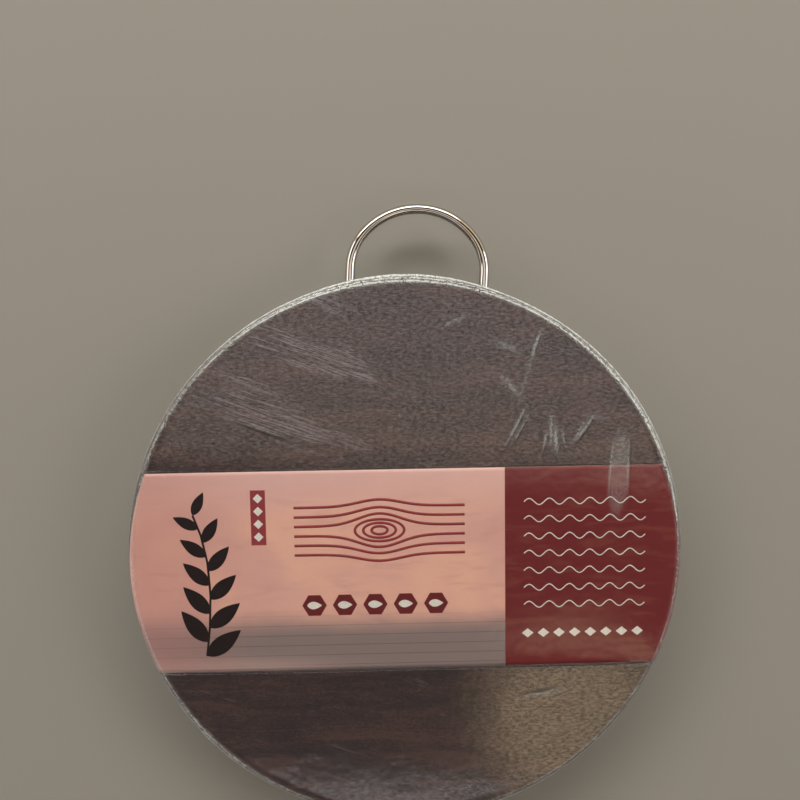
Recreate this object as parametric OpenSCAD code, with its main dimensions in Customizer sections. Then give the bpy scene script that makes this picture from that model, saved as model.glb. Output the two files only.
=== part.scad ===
// Round chopping block, shrink wrapped for sale.
// A turned disc of dark heartwood with eased edges, a bent steel rod driven into
// two drilled holes in its rim as a hanging handle, a printed card band laid
// across its face, and a clear film shrunk round disc and card.
// The block lies on its back with the face up. The origin is the centre of the
// film's underside, and the handle points along +Y.

/* [Block] */
// Diameter of the wooden disc
block_d = 300; // [260:5:400]
// Thickness of the wooden disc
block_t = 35; // [28:1:60]
// Radius of the eased edges
edge_r = 3; // [1:0.5:8]

/* [Handle] */
// Diameter of the steel rod
rod_d = 5; // [4:0.5:8]
// Distance between the two legs, centre to centre
leg_spacing = 73; // [56:1:90]
// How far the outside of the bow stands out from the rim
handle_reach = 40; // [36:1:60]
// Straight stretch at the crown, between the two quarter bends
crown_flat = 3; // [1:0.5:12]
// Depth of each leg in the wood
leg_depth = 30; // [22:1:60]
// Length of the cone ground on each leg's tip
tip_taper = 1.5; // [0.5:0.1:3]
// Diameter of the flat left at the end of that cone
tip_d = 2.5; // [1:0.5:3]
// Number of grip rings rolled on each leg
ring_count = 5; // [3:1:8]
// Distance from one grip ring to the next
ring_pitch = 2.4; // [1.6:0.1:3]
// Depth of the groove rolled before each grip ring
ring_groove = 0.3; // [0.1:0.05:0.5]
// How far the grip rings bite into the wall of the hole
ring_bite = 0.1; // [0.05:0.01:0.2]

/* [Holes in the rim] */
// Radial clearance of the drilled hole round the plain rod
hole_gap = 0.05; // [0.02:0.01:0.2]
// Depth of the hole beyond the leg's tip
hole_spare = 2; // [0.5:0.5:6]
// Point angle of the drill
drill_angle = 118; // [90:1:140]

/* [Label] */
// Width of the card band across the face
label_w = 110; // [60:1:160]
// Thickness of the card
label_t = 0.25; // [0.15:0.05:0.5]
// How much smaller than the block the radius of the band's ends is
label_inset = 1; // [0:0.5:12]
// Shift of the band away from the handle
label_shift = 7; // [-20:1:30]
// Turn of the band on the face, counterclockwise
label_turn = 3.2; // [-12:0.1:12]

/* [Shrink film] */
// Thickness of the film
film_t = 0.2; // [0.1:0.05:0.4]
// Clearance of the film over the card and round the rim
film_gap = 0.1; // [0.05:0.05:0.5]
// Height of the welded seam that runs round the rim
seam_h = 0.6; // [0.3:0.1:2]
// Thickness of the welded seam
seam_t = 0.4; // [0.2:0.1:0.8]
// Part of the rim that the seam runs round, centred on the handle
seam_sweep = 260; // [180:5:340]
// Radial clearance of the film's holes round the legs
film_hole_gap = 0.4; // [0.2:0.1:1]

/* [Hidden] */

// Segments of full circles, fine enough for a smooth preview
large_fn = 240;
small_fn = 48;

block_r = block_d / 2;
rod_r = rod_d / 2;
leg_x = leg_spacing / 2;
hole_r = rod_r + hole_gap;

// Heights, from the film's underside
block_low = film_t;
block_high = block_low + block_t;
block_mid = (block_low + block_high) / 2;
film_high = block_high + label_t + film_gap + film_t;

// Where the axis of a leg crosses the rim, and where the leg ends
rim_y = sqrt(pow(block_r, 2) - pow(leg_x, 2));
leg_tip_y = rim_y - leg_depth;

// The bow is two quarter bends, to the middle of the rod, and the crown between them
bend_r = (leg_spacing - crown_flat) / 2;
shoulder_y = block_r + handle_reach - rod_r - bend_r;
leg_length = shoulder_y - leg_tip_y;

// Each grip ring as shares of the pitch: its groove ends and its ramp starts, the ramp
// reaches its crest, and after the last ring the rod is back at its full diameter
ramp_start = 0.2;
ramp_end = 0.9;
run_out = 0.5;

// Half section of a disc whose edges are rounded, for a revolve
module disc_section(radius, low, high, round_r) {
    translate([0, low])
        square([radius - round_r, high - low]);
    translate([0, low + round_r])
        square([radius, high - low - 2 * round_r]);
    for (y = [low + round_r, high - round_r])
        translate([radius - round_r, y])
            circle(r = round_r, $fn = small_fn);
}

// Places its children at the axis of each leg, with their Z along the leg
module at_legs(y) {
    for (side = [-1, 1])
        translate([side * leg_x, y, block_mid])
            rotate([-90, 0, 0])
                children();
}

// Blind hole from the tip outwards, with the cone that the drill leaves
module drilled_hole(length) {
    point_h = hole_r / tan(drill_angle / 2);
    rotate_extrude($fn = small_fn)
        polygon([[0, -point_h], [hole_r, 0], [hole_r, length], [0, length]]);
}

module block() {
    color("#463330")
    difference() {
        rotate_extrude($fn = large_fn)
            disc_section(block_r, block_low, block_high, edge_r);
        at_legs(leg_tip_y - hole_spare)
            drilled_hole(leg_depth + hole_spare + block_r - rim_y);
    }
}

// Outline of one leg, from its tip up to 0 where the bend starts: a cone, grip rings
// that rise towards the rim and drop square behind it, then the plain rod
function leg_section() =
    let (groove_r = rod_r - ring_groove, first = tip_taper - leg_length)
    [
        [0, -leg_length],
        [tip_d / 2, -leg_length],
        [groove_r, first],
        for (i = [0 : ring_count - 1])
            each let (y = first + i * ring_pitch) [
                [groove_r, y + ramp_start * ring_pitch],
                [hole_r + ring_bite, y + ramp_end * ring_pitch],
                [groove_r, y + ring_pitch]
            ],
        [groove_r, first + (ring_count + ramp_start) * ring_pitch],
        [rod_r, first + (ring_count + run_out) * ring_pitch],
        [rod_r, 0],
        [0, 0]
    ];

// Quarter bend of rod in the XY plane
module rod_bend(from) {
    rotate_extrude(angle = 90, start = from, $fn = large_fn)
        translate([bend_r, 0])
            circle(r = rod_r, $fn = small_fn);
}

module handle() {
    color("#c8c4bb")
    translate([0, shoulder_y, block_mid]) {
        for (side = [-1, 1])
            translate([side * leg_x, 0, 0])
                rotate([-90, 0, 0])
                    rotate_extrude($fn = small_fn)
                        polygon(leg_section());
        translate([crown_flat / 2, 0, 0])
            rod_bend(0);
        translate([-crown_flat / 2, 0, 0])
            rod_bend(90);
        translate([-crown_flat / 2, bend_r, 0])
            rotate([0, 90, 0])
                cylinder(r = rod_r, h = crown_flat, $fn = small_fn);
    }
}

// Flat outline of the card: a band with ends cut to a radius
module label_outline() {
    rotate([0, 0, label_turn])
        intersection() {
            circle(r = block_r - label_inset, $fn = large_fn);
            translate([-block_r, -label_w / 2])
                square([block_d, label_w]);
        }
}

// The card lies on the face and is drawn down over the eased edge by the film
module label_card() {
    color("#c49587")
    intersection() {
        rotate_extrude($fn = large_fn)
            intersection() {
                difference() {
                    disc_section(block_r + label_t, block_low, block_high + label_t, edge_r + label_t);
                    disc_section(block_r, block_low, block_high, edge_r);
                }
                translate([0, block_high - edge_r])
                    square([block_d, edge_r + label_t]);
            }
        translate([0, -label_shift, block_low])
            linear_extrude(block_t + 2 * label_t)
                label_outline();
    }
}

module shrink_film() {
    inner_r = block_r + label_t + film_gap;
    outer_r = inner_r + film_t;
    inner_round = edge_r + label_t + film_gap;
    color("#dfe6e6", 0.25)
    difference() {
        union() {
            rotate_extrude($fn = large_fn)
                difference() {
                    disc_section(outer_r, 0, film_high, inner_round + film_t);
                    disc_section(inner_r, film_t, film_high - film_t, inner_round);
                }
            rotate([0, 0, 90 - seam_sweep / 2])
                rotate_extrude(angle = seam_sweep, $fn = large_fn)
                    translate([inner_r + film_t / 2, block_mid - seam_t / 2])
                        square([film_t / 2 + seam_h, seam_t]);
        }
        at_legs(leg_tip_y)
            cylinder(r = rod_r + film_hole_gap, h = outer_r + seam_h - leg_tip_y, $fn = small_fn);
    }
}

block();
handle();
label_card();
shrink_film();
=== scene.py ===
"""Looks of the round chopping block: wood, bent steel handle, printed card and shrink film.

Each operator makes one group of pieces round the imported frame. Lengths are in metres.
"""

import math
from functools import partial

import bmesh
import bpy
import numpy as np
from bpy.props import FloatProperty, FloatVectorProperty, IntProperty, PointerProperty
from mathutils import Matrix, Vector
from mathutils.geometry import delaunay_2d_cdt


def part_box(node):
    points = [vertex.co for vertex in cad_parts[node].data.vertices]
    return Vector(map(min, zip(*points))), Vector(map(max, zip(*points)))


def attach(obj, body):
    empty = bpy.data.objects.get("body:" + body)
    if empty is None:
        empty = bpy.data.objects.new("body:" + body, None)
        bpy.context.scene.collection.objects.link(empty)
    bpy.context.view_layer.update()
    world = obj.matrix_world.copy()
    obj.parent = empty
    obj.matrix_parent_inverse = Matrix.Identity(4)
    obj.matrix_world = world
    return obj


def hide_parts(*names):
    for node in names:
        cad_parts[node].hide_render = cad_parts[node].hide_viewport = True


bl_info = {
    "name": "Round Chopping Block",
    "version": (1, 0, 0),
    "blender": (4, 5, 0),
    "location": "View3D > Sidebar > Chopping Block",
    "description": "Makes a shrink wrapped round chopping block round its packed frame",
    "category": "Add Mesh",
}

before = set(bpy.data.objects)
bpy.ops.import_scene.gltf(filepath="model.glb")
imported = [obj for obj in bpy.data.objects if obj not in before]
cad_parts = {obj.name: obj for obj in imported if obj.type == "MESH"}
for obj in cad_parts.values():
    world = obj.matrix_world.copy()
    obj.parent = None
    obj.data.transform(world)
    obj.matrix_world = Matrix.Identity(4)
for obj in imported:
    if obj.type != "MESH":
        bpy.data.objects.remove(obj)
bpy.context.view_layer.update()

BODY = "root"
MM = 0.001

# Sizes that the frame gives
WOOD_LOW, WOOD_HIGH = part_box("block")
ROD_LOW, ROD_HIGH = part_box("handle")
WOOD_R = WOOD_HIGH.x
WOOD_MID = (WOOD_LOW.z + WOOD_HIGH.z) / 2
HALF_T = (WOOD_HIGH.z - WOOD_LOW.z) / 2
CARD_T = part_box("label_card")[1].z - WOOD_HIGH.z
ROD_R = (ROD_HIGH.z - ROD_LOW.z) / 2
LEG_X = ROD_HIGH.x - ROD_R
RIM_Y = math.sqrt(WOOD_R**2 - LEG_X**2)

# The eased edge of the wood, and where the skin of the face turns over it, as distances
# from the middle of the face along the skin: edge begins, rim wall begins, middle of rim
EDGE_R = 3 * MM
EDGE_AT = WOOD_R - EDGE_R
WALL_AT = EDGE_AT + EDGE_R * math.pi / 2
SEAM_AT = WALL_AT + HALF_T - EDGE_R

# Thickness at which ink is drawn, and the air that keeps the card's back off the wood
INK_T = 0.02 * MM
CARD_AIR = 0.01 * MM

# Points closer than this are the same, and on a film sheet with its slim rows
MERGE, FILM_MERGE = 0.001 * MM, 0.005 * MM

# Kinds of node that come up often, and settings that go with them
VECTOR, MIX, RANGE = "ShaderNodeVectorMath", "ShaderNodeMix", "ShaderNodeMapRange"
NOISE, MAPPING = "ShaderNodeTexNoise", "ShaderNodeMapping"
XYZ, SPLIT, RAMP = "ShaderNodeCombineXYZ", "ShaderNodeSeparateXYZ", "ShaderNodeValToRGB"
SHADER, BUMP = "ShaderNodeBsdfPrincipled", "ShaderNodeBump"
SMOOTH = {"interpolation_type": "SMOOTHSTEP"}
RGBA = {"data_type": "RGBA"}
SEEDED = {"noise_dimensions": "4D"}


def srgb(code):
    """Linear colour of an sRGB hex value, opaque"""
    parts = [int(code[i:i + 2], 16) / 255 for i in (1, 3, 5)]
    return *(c / 12.92 if c <= 0.04045 else ((c + 0.055) / 1.055) ** 2.4 for c in parts), 1.0


def length(name, default, description):
    """A length property with its default in millimetres"""
    return FloatProperty(
        name=name, description=description, default=default * MM, precision=5, unit="LENGTH"
    )


def colour(name, code, description):
    """A colour property with its default as an sRGB hex value"""
    return FloatVectorProperty(
        name=name, description=description, default=srgb(code), size=4, min=0, max=1,
        subtype="COLOR"
    )


def angle(name, default, description):
    """An angle property with its default in degrees"""
    return FloatProperty(
        name=name, description=description, default=math.radians(default), subtype="ANGLE"
    )


class WoodSettings(bpy.types.PropertyGroup):
    """Oiled heartwood disc"""

    segments: IntProperty(name="Segments", description="Facets round the disc", default=720)
    base: colour("Wood", "#2f1c1c", "Colour of the heartwood")
    dark: colour("Late wood", "#1f1113", "Colour of the dark growth bands")
    light: colour("Early wood", "#452d29", "Colour of the light growth bands")
    grain_turn: angle("Grain turn", 2.4, "Direction of the grain from +X")
    sanding_turn: angle("Sanding turn", -17, "Direction of the sanding marks from +X")
    band: length("Growth band", 5.5, "Width of one growth band")
    pore: length("Pore", 0.35, "Width at which the pores are drawn")


class HandleSettings(bpy.types.PropertyGroup):
    """Bent stainless rod"""

    sides: IntProperty(name="Sides", description="Facets round the rod", default=40)
    shoulder_r: length("Shoulder radius", 29, "Bend at each shoulder, to the rod's middle")
    crown_r: length("Crown radius", 38.5, "Bend over the crown, to the rod's middle")
    ring_count: IntProperty(name="Grip rings", description="Rings on each leg", default=5)
    ring_pitch: length("Ring pitch", 2.4, "Distance from one grip ring to the next")
    steel: colour("Steel", "#c9c4bc", "Colour of the polished steel")


class CardSettings(bpy.types.PropertyGroup):
    """Printed card band"""

    width: length("Width", 110, "Width of the band across the face")
    end_r: length("End radius", 149, "Radius to which the ends are cut")
    shift: length("Shift", 7, "Shift of the band away from the handle")
    turn: angle("Turn", 3.2, "Turn of the band on the face")
    panel_from: length("Panel from", 53.7, "Where the dark panel starts, from the middle")
    curl: length("Curl", 0.3, "How far the near long edge curls up")
    curl_reach: length("Curl reach", 4, "How far in from that edge the curl has died down")
    field: colour("Field", "#d6a39a", "Pink field of the print")
    field_warm: colour("Warm field", "#e3af9d", "Warmer clouds in the field")
    shade: colour("Shade", "#877675", "Mauve foot of the field")
    panel: colour("Panel", "#6c1b20", "Dark panel")
    ink_dark: colour("Dark ink", "#170404", "Ink of the sprig")
    ink_red: colour("Red ink", "#96383d", "Ink of the line work")
    ink_white: colour("White ink", "#e6e0da", "Ink of the marks on the panel")


class FilmSettings(bpy.types.PropertyGroup):
    """Clear shrink film"""

    segments: IntProperty(name="Segments", description="Facets round the rim", default=1250)
    thickness: length("Thickness", 0.05, "Thickness at which the film is drawn")
    gap: length("Gap", 0.06, "Air between film and wood or card")
    wall_gap: length("Rim gap", 0.3, "Air between film and rim")
    inner_r: length("Inner radius", 138, "Where the rows round the rim start")
    cell: length("Cell", 2.4, "Point spacing of the sheet inside those rows")
    pleat: length("Pleat", 2.0, "Width of the gathers over the eased edge")
    pleat_height: length("Pleat height", 0.16, "Height of those gathers")
    fin: length("Fin", 0.6, "How far the welded seam stands out")
    seam_sweep: angle("Seam sweep", 260, "Part of the rim that the seam runs round")
    hole_gap: length("Hole gap", 0.3, "Clearance of the film round the legs")
    collar: length("Collar", 1.1, "How far the film is drawn up along the legs")
    # The haze colour also carries the painted highlights over the edge, on the creases and on the welded
    # bead
    haze: colour("Haze", "#e6eae7", "Colour of the film where it is stretched white")
    # Strength of the painted highlight lines over the eased edge, together with the gathers' whitening
    fold_white: FloatProperty(
        name="Fold white", description="How white the folds over the edge are", default=0.75
    )
    # Whiteness of the creases on the face: partly whitening of the creased film, partly painted highlight
    crease_white: FloatProperty(
        name="Crease white", description="How white the creases on the face are", default=0.24
    )


class StageSettings(bpy.types.PropertyGroup):
    """Floor, lamps and camera"""

    floor: colour("Floor", "#8f8b83", "Colour of the floor")
    floor_size: length("Floor size", 6000, "Side of the floor")
    eye: FloatVectorProperty(
        name="Camera", description="Place of the camera", subtype="TRANSLATION",
        default=(-16.62 * MM, 124.49 * MM, 458.06 * MM), precision=5
    )
    eye_turn: FloatVectorProperty(
        name="Camera turn", description="Turn of the camera from straight down",
        subtype="AXISANGLE", default=tuple(math.radians(a) for a in (-5.37, -1.19, 2.25))
    )
    lens: FloatProperty(name="Lens", description="Focal length in mm on 36 mm", default=36)


def add_node(tree, kind, *inputs, stops=(), **settings):
    """Adds a node with its settings and links. Inputs come in the order of its live sockets,
    or as one dict by name. Each is a value, a socket, or a node whose first live output is
    taken. Stops are those of a colour ramp. A kind in capitals is a maths node's operation"""
    if kind.isupper():
        kind, settings = "ShaderNodeMath", {"operation": kind, **settings}
    node = tree.nodes.new(kind)
    for name, value in settings.items():
        setattr(node, name, value)
    for i, (position, shade) in enumerate(stops):
        ramp = node.color_ramp.elements
        point = ramp[i] if i < len(ramp) else ramp.new(position)
        point.position, point.color = position, shade
    live = [socket for socket in node.inputs if socket.enabled]
    pairs = zip(live, inputs)
    if inputs and isinstance(inputs[0], dict):
        named = {socket.name: socket for socket in reversed(live)}
        pairs = [(named[key], value) for key, value in inputs[0].items()]
    for socket, value in pairs:
        if isinstance(value, bpy.types.Node):
            value = next(output for output in value.outputs if output.enabled)
        if isinstance(value, bpy.types.NodeSocket):
            tree.links.new(value, socket)
        else:
            socket.default_value = value
    return node


def new_material(name):
    """A node material, and the function that adds nodes to it"""
    material = bpy.data.materials.new(name)
    material.use_nodes = True
    material.node_tree.nodes.clear()
    return material, partial(add_node, material.node_tree)


def per(*lengths):
    """Scale of a pattern whose cells have these lengths"""
    return tuple(1 / value for value in lengths)


# In millimetres: how far the warp moves the growth rings, and where the pith lies across
# the grain and below the disc
WARP, PITH_ACROSS, PITH_BELOW = 34.0, -39.0, 95.0

# Sanded patches of the face, in millimetres along and across the sanding marks: middle
# and half size
SANDED = (((-93, 50), (50, 17)), ((-86, 86), (44, 13)), ((-92, 118), (24, 9)))


def heartwood(wood):
    """Dense tropical heartwood, planed, sanded and oiled: nearly black brown with a purple
    cast, low contrast growth bands, short pores and a dull gleam"""
    material, add = new_material("oiled_heartwood")
    place = add("ShaderNodeTexCoord").outputs["Object"]
    grain, slant = (
        add(MAPPING, {"Vector": place, "Rotation": (0, 0, -turn), "Scale": (1 / MM,) * 3})
        for turn in (wood.grain_turn, wood.sanding_turn)
    )
    # Pores are about 0.15 mm wide; they are drawn wider so that they show at all
    pore = wood.pore / MM
    # Each pattern's cell in millimetres along, across and down, its detail and its seed
    warp, streaks, fibres, mottle, clouds, pores, marks, patches = (
        add(NOISE, {
            "Vector": add(MAPPING, {"Vector": plane, "Scale": per(*cell)}),
            "W": seed, "Scale": 1.0, "Detail": detail, "Roughness": 0.6
        }, **SEEDED)
        for plane, cell, detail, seed in (
            (grain, (110, 38, 38), 2.0, 3.1), (grain, (20, 1.5, 1.5), 3.0, 7.7),
            (grain, (5, 0.8, 0.8), 2.0, 2.2), (grain, (1.3, 1.0, 1.0), 2.0, 6.6),
            (grain, (46, 24, 24), 3.0, 1.9), (grain, (pore * 9, pore, pore), 0.0, 4.4),
            (slant, (18, 0.42, 8), 1.0, 9.2), (slant, (26, 7, 18), 2.0, 5.5)
        )
    )
    # Growth rings round a pith that lies below the disc, a little towards the handle. The
    # warp drifts along the grain and bends them into flames on the face
    warp = add("MULTIPLY_ADD", warp, WARP, PITH_ACROSS)
    axes = add(SPLIT, grain).outputs
    across = add("ADD", axes["Y"], warp)
    depth = add("ADD", axes["Z"], PITH_BELOW)
    radius = add(VECTOR, add(XYZ, 0.0, across, depth), operation="LENGTH")
    rings = add(
        NOISE, {"W": radius, "Scale": MM / wood.band, "Detail": 3.0, "Roughness": 0.6},
        noise_dimensions="1D"
    )
    tone = 0.0
    for pattern, weight in (
        (rings, 0.2), (streaks, 0.13), (fibres, 0.09), (mottle, 0.28), (clouds, 0.3)
    ):
        tone = add("MULTIPLY_ADD", pattern, weight, tone)
    shade = add(RAMP, tone, stops=((0.44, wood.dark), (0.5, wood.base), (0.57, wood.light)))
    pores = add(RANGE, pores, 0.6, 0.72, 0.0, 0.4, **SMOOTH)
    shade = add(MIX, pores, shade, wood.light, **RGBA)
    # Sanding marks cross the grain at a slant, densest in a few patches
    sanded = add("MULTIPLY", patches, 0.8)
    for (x, y), (long, wide) in SANDED:
        off = add(MAPPING, {
            "Vector": slant, "Location": (-x / long, -y / wide, 0), "Scale": (1 / long, 1 / wide, 0)
        })
        off = add(VECTOR, off, operation="LENGTH")
        off = add(RANGE, off, 1.3, 0.3, 0.0, 0.3, **SMOOTH)
        sanded = add("ADD", sanded, off)
    marks = add(RANGE, marks, 0.5, 0.6, **SMOOTH)
    sanded = add(RANGE, sanded, 0.48, 0.7, **SMOOTH)
    scuffs = add("MULTIPLY", marks, sanded)
    # The eased edge was sanded by hand and took less oil
    eased = add("ShaderNodeAttribute", attribute_name="eased").outputs["Fac"]
    for mask, amount, code in ((scuffs, 0.55, "#8d858c"), (eased, 0.35, "#5a4740")):
        share = add("MULTIPLY", mask, amount)
        shade = add(MIX, share, shade, srgb(code), **RGBA)
    rough = add("MULTIPLY_ADD", tone, 0.7, 0.02)
    rough = add("MULTIPLY_ADD", scuffs, 0.15, rough)
    relief = add("MULTIPLY_ADD", pores, -1.2, fibres)
    relief = add("MULTIPLY_ADD", mottle, 0.6, relief)
    bump = add(BUMP, {"Height": relief, "Distance": 0.1 * MM, "Strength": 1.0})
    add("ShaderNodeOutputMaterial", add(
        SHADER, {"Base Color": shade, "Roughness": rough, "IOR": 1.55, "Normal": bump}
    ))
    return material


def polished_steel(handle):
    """Drawn stainless wire, polished after bending: clear reflections with faint lines
    along the rod and a few dull smudges"""
    material, add = new_material("polished_stainless")
    # The map runs in millimetres along the rod and once round it
    run = add("ShaderNodeUVMap", uv_map="rod")
    run = add(MAPPING, {"Vector": run, "Scale": (0.04, 34, 1)})
    place = add("ShaderNodeTexCoord").outputs["Object"]
    lines, smudges = (
        add(NOISE, {"Vector": vector, "W": seed, "Scale": scale, "Detail": 3.0}, **SEEDED)
        for vector, scale, seed in ((run, 1.0, 2.0), (place, 1 / (9 * MM), 6.0))
    )
    dull = add(RANGE, smudges, 0.45, 0.75, 0.0, 1.0, **SMOOTH)
    rough = add("MULTIPLY_ADD", lines, 0.04, 0.02)
    rough = add("MULTIPLY_ADD", dull, 0.05, rough)
    tint = add(MIX, dull, handle.steel, srgb("#b9ad94"), **RGBA)
    bump = add(BUMP, {"Height": lines, "Distance": 0.01 * MM, "Strength": 0.5})
    add("ShaderNodeOutputMaterial", add(
        SHADER, {"Base Color": tint, "Metallic": 1.0, "Roughness": rough, "Normal": bump}
    ))
    return material


def printed_card(card):
    """Coated card, offset printed: soft colour clouds, a fine print grain, satin gloss"""
    material, add = new_material("coated_card")
    # The map runs in millimetres along and across the card
    flat = add("ShaderNodeUVMap", uv_map="card")
    along, across, _ = add(SPLIT, flat).outputs
    clouds, washes, grain = (
        add(NOISE, {
            "Vector": add(MAPPING, {"Vector": flat, "Scale": per(*cell, 1)}),
            "W": seed, "Scale": 1.0, "Detail": 3.0, "Distortion": bend
        }, **SEEDED)
        for cell, bend, seed in (((60, 38), 0.6, 8.0), ((34, 7), 1.2, 3.0), ((0.45, 0.45), 0.0, 1.0))
    )
    # The mauve foot fades in and is ruled with slim stripes that close up downwards
    level = add("MULTIPLY_ADD", clouds, 10.0, across)
    foot = add(RANGE, level, -10.0, -36.0, 0.0, 1.0, **SMOOTH)
    rule = add("ADD", across, 55.0)
    rule = add(RANGE, add("PINGPONG", rule, 2.75), 2.4, 2.6)
    stripe = add("MULTIPLY", rule, foot)
    strip = add(RANGE, across, -42.0, -55.0, **SMOOTH)
    left = add(RANGE, along, 0.0, -90.0, **SMOOTH)
    pale = add("MULTIPLY", strip, left)
    # The panel is printed over a faint wash too
    edge = card.panel_from / MM
    deep = add(RANGE, along, edge - 0.05, edge + 0.05)
    deep = add("MULTIPLY", deep, washes)
    # Each wash: what drives it, where it starts and is full, how strong it is, its colour
    shade = card.field
    for value, start, end, amount, wash in (
        (clouds, 0.35, 0.65, 1.0, card.field_warm),
        (washes, 0.5, 0.75, 0.35, srgb("#b98a86")),
        (across, 22.0, 54.0, 0.75, srgb("#dab0ac")),
        (foot, 0.0, 1.0, 1.0, card.shade),
        (stripe, 0.0, 1.0, 0.5, srgb("#5b4748")),
        (pale, 0.0, 1.0, 0.7, srgb("#b0948f")),
        (along, -70.0, -140.0, 0.45, srgb("#bb827d")),
        (along, edge - 0.05, edge + 0.05, 1.0, card.panel),
        (deep, 0.48, 0.66, 0.6, srgb("#7b3a30"))
    ):
        share = add(RANGE, value, start, end, 0.0, amount, **SMOOTH)
        shade = add(MIX, share, shade, wash, **RGBA)
    specks = add(RAMP, grain, stops=[(at, (grey,) * 3 + (1,)) for at, grey in ((0.3, 0.35), (0.7, 0.65))])
    shade = add(MIX, 0.12, shade, specks, blend_type="OVERLAY", **RGBA)
    bump = add(BUMP, {"Height": grain, "Distance": 0.01 * MM, "Strength": 0.4})
    add("ShaderNodeOutputMaterial", add(
        SHADER, {"Base Color": shade, "Roughness": 0.5, "IOR": 1.38, "Normal": bump}
    ))
    return material


def fine_grained(name, first, second, cell, roughness, ior):
    """A plain surface that is mottled between two colours in cells of a size"""
    material, add = new_material(name)
    place = add("ShaderNodeTexCoord").outputs["Object"]
    mottle = add(NOISE, {"Vector": place, "W": 2.5, "Scale": 1 / cell}, **SEEDED)
    shade = add(RAMP, mottle, stops=((0.3, first), (0.7, second)))
    add("ShaderNodeOutputMaterial", add(
        SHADER, {"Base Color": shade, "Roughness": roughness, "IOR": ior}
    ))
    return material


def card_core():
    """Cut edge and back of the card: unprinted grey white pulp, matt"""
    return fine_grained("card_core", srgb("#b9b1a8"), srgb("#d6cfc6"), 0.4 * MM, 0.85, 1.45)


def ink(name, shade):
    """Offset ink on coated card: flat colour with a fine mottle, satin gloss"""
    return fine_grained(name, [0.8 * part for part in shade], shade, 0.6 * MM, 0.5, 1.38)


def floor_finish(stage):
    """Matt painted board: plain, with a faint unevenness"""
    deeper = [0.97 * part for part in stage.floor]
    return fine_grained("floor_paint", deeper, stage.floor, 400 * MM, 0.9, 1.45)


def clear_film(film, name="clear_film", white=0.002):
    """Polyolefin shrink film: clear and glossy on both faces, white where it is drawn into gathers;
    the white over the eased edge is painted highlight, and on the creases and the welded bead it
    is partly whitening, partly painted highlight"""
    material, add = new_material(name)
    place = add("ShaderNodeTexCoord").outputs["Object"]
    stress, bare, gather, fold, crease = (
        add("ShaderNodeAttribute", attribute_name=key).outputs["Fac"]
        for key in ("stress", "bare", "gather", "fold", "crease")
    )
    # Puckers finer than the mesh run over the eased edge; drawn out to the rim's circle,
    # they are the same all the way over it
    rim = add(VECTOR, place, (1, 1, 0), operation="MULTIPLY")
    rim = add(VECTOR, rim, operation="NORMALIZE")
    rim = add(VECTOR, rim, (WOOD_R,) * 3, operation="MULTIPLY")
    grain = add(MAPPING, {"Vector": place, "Rotation": (0, 0, -0.04)})
    # Each pattern's place, its cell in millimetres, its detail and its seed
    cling, puckers, crinkle, ripple = (
        add(NOISE, {
            "Vector": add(MAPPING, {"Vector": vector, "Scale": per(*size)}),
            "W": seed, "Scale": 1 / MM, "Detail": detail, "Roughness": 0.6
        }, **SEEDED)
        for vector, size, detail, seed in (
            (grain, (2.6, 1.1, 1.1), 3.0, 8.8), (rim, (0.8,) * 3, 2.0, 6.5),
            (place, (0.85,) * 3, 1.0, 5.1), (place, (16,) * 3, 2.0, 4.0)
        )
    )
    # Where the film clings to the grain, its inner face hardly reflects
    air = add(RANGE, cling, 0.35, 0.65, 0.4, 1.6, **SMOOTH)
    air = add(MIX, bare, 1.0, air)
    # Schlick's curve from Facing, which is the same on the inner and the outer face
    facing = add("ShaderNodeLayerWeight", {"Blend": 0.5}).outputs["Facing"]
    gloss = add("MULTIPLY", add("POWER", facing, 5.0), 0.96)
    gloss = add("MULTIPLY_ADD", air, 0.03, gloss)
    relief = add("MULTIPLY_ADD", puckers, gather, ripple)
    bump = add(BUMP, {"Height": relief, "Distance": 0.12 * MM, "Strength": 1.0})
    shine = add(
        "ShaderNodeBsdfGlossy", {"Color": (1, 1, 1, 1), "Roughness": 0.06, "Normal": bump}
    )
    clear = add("ShaderNodeBsdfTransparent", (0.985, 0.99, 0.985, 1))
    veil = add("ShaderNodeBsdfDiffuse", film.haze)
    # Painted highlight lines over the eased edge, broken into white specks, and a fainter whitening of
    # the creases on the face that is partly painted highlight; the stress of the gathers whitens the film
    # for real
    speckled_rim_white_and_highlight = add("MULTIPLY_ADD", crinkle, 5.0, -2.5)
    speckled_rim_white_and_highlight = add("MULTIPLY_ADD", fold, 0.95, speckled_rim_white_and_highlight)
    speckled_rim_white_and_highlight = add("MULTIPLY", add(RANGE, speckled_rim_white_and_highlight, 0.35, 0.9), fold)
    crinkle = add("MULTIPLY", add(RANGE, crinkle, 0.3, 0.6), crease)
    cloud = white
    for value, amount in ((stress, 0.1), (speckled_rim_white_and_highlight, film.fold_white), (crinkle, film.crease_white)):
        share = add(RANGE, value, 0.0, 1.0, 0.0, amount)
        cloud = add("ADD", share, cloud, use_clamp=True)
    body = add("ShaderNodeMixShader", cloud, clear, veil)
    add("ShaderNodeOutputMaterial", add("ShaderNodeMixShader", gloss, body, shine))
    return material


def smooth_step(x):
    """0 below 0, 1 above 1 and a smooth rise between"""
    x = np.clip(x, 0, 1)
    return x * x * (3 - 2 * x)


def off_angle(around, centre):
    """Angles from a centre, in degrees, from an angle round the disc in radians"""
    return np.abs((np.degrees(around) - centre + 180) % 360 - 180)


def lobe(around, centre, half_width):
    """1 at an angle round the disc, falling to 0 at a half width, all in degrees"""
    return smooth_step(1 - off_angle(around, centre) / half_width)


def full_turn(count):
    """Equal angles once round"""
    return np.linspace(0, 2 * math.pi, count, endpoint=False)


def flat_xy(radius, around):
    """Flat points at radii and angles"""
    return np.stack([radius * np.cos(around), radius * np.sin(around)], -1)


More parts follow.
